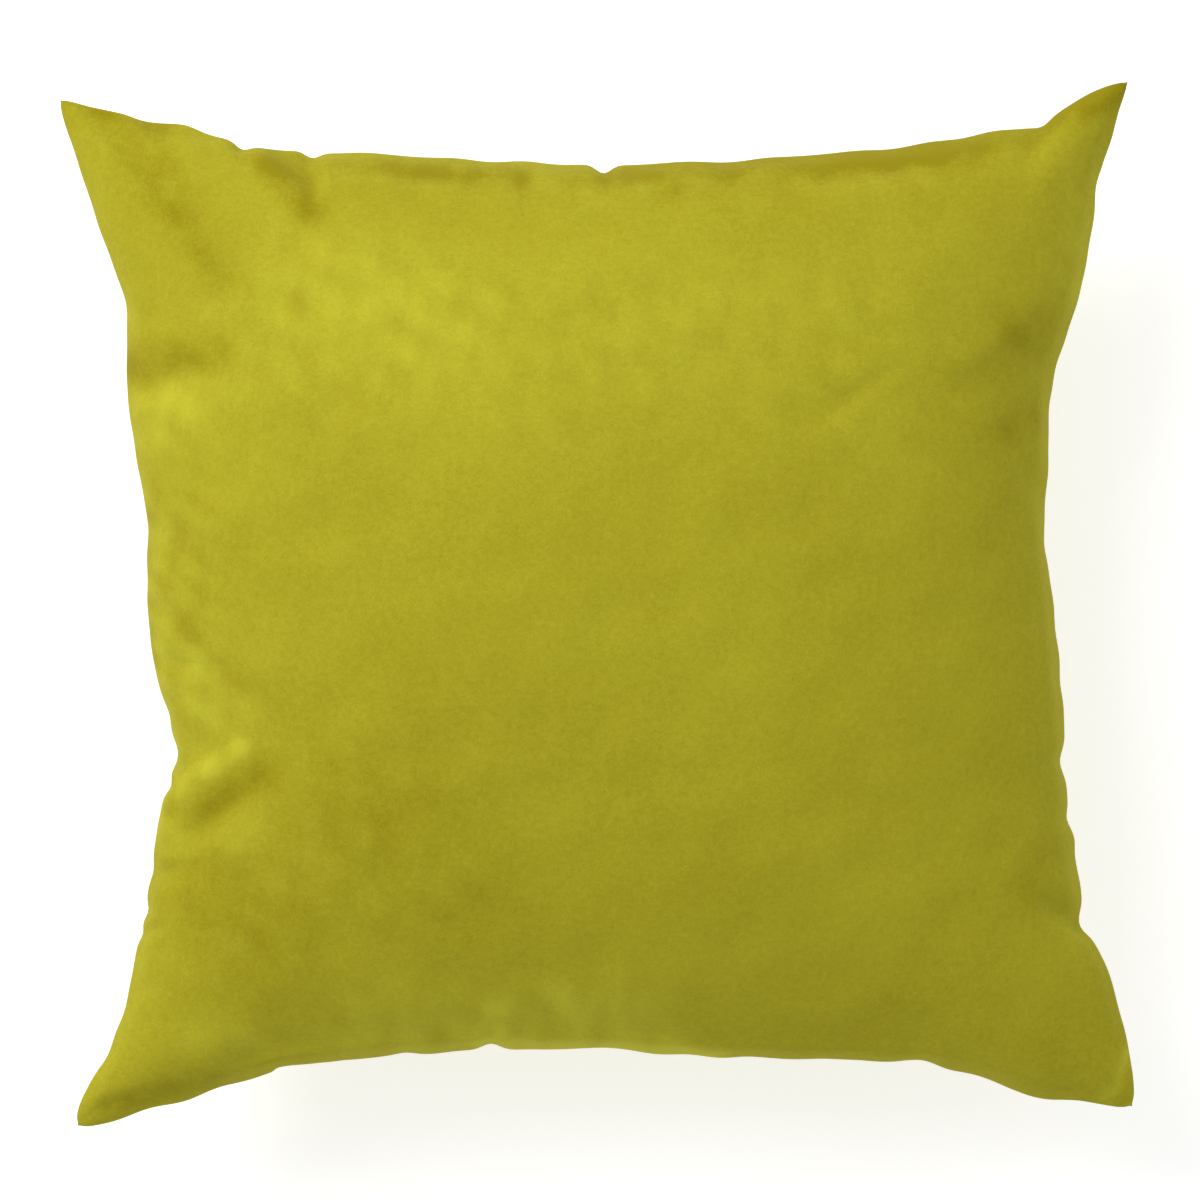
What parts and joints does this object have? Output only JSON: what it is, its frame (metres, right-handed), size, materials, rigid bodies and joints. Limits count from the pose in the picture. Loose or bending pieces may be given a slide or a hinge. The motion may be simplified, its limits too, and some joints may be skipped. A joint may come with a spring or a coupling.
{
  "type": "throw pillow",
  "caption": "Square knife-edge throw pillow: short-pile velvet cover with a concealed zip in the bottom seam, over a fibre-filled pad.",
  "frame": {"origin": "on the resting plane, under the middle of the pillow's outline", "axes": "the pillow lies on its back panel: +Z out of the front panel, +Y to the top edge, -Y to the zip edge, +X to the right edge as the front is seen"},
  "size_m": [0.4318, 0.4217, 0.148],
  "materials": {
    "velvet": "short-pile velvet, matte with a soft sheen",
    "sewing_thread": "spun polyester thread",
    "zip_tape": "woven polyester tape",
    "zip_coil": "satin nylon",
    "zip_metal": "satin nickel-plated zinc",
    "pad_case": "plain white nonwoven cloth",
    "pad_thread": "spun polyester thread",
    "fibre": "loose hollow fibre"
  },
  "bodies": {
    "pillow": {"front_panel": "velvet", "back_panel": "velvet", "seam_thread_top": "sewing_thread", "seam_thread_left": "sewing_thread", "seam_thread_right": "sewing_thread", "seam_thread_bottom_left": "sewing_thread", "seam_thread_bottom_right": "sewing_thread", "overlock_top": "sewing_thread", "overlock_left": "sewing_thread", "overlock_right": "sewing_thread", "overlock_zip_front": "sewing_thread", "overlock_zip_back": "sewing_thread", "zip_tape_front": "zip_tape", "zip_tape_back": "zip_tape", "zip_thread_front": "sewing_thread", "zip_thread_back": "sewing_thread", "zip_coil_front": "zip_coil", "zip_coil_back": "zip_coil", "zip_top_stop_front": "zip_metal", "zip_top_stop_back": "zip_metal", "zip_bottom_stop": "zip_metal", "pad_front": "pad_case", "pad_back": "pad_case", "pad_seam_thread": "pad_thread", "fibre_filling": "fibre"},
    "slider": {"zip_slider": "zip_metal"},
    "pull_tab": {"zip_pull_tab": "zip_metal"}
  },
  "joints": [
    {"name": "zip_slide", "type": "slide", "parent": "pillow", "child": "slider", "axis": [1, 0, 0], "range_m": [0, 0.234]},
    {"name": "tab_hinge", "type": "hinge", "parent": "slider", "child": "pull_tab", "pos_m": [-0.11703, -0.1801, 0.072], "axis": [-1, 0, 0], "range_deg": [-10, 145]}
  ]
}
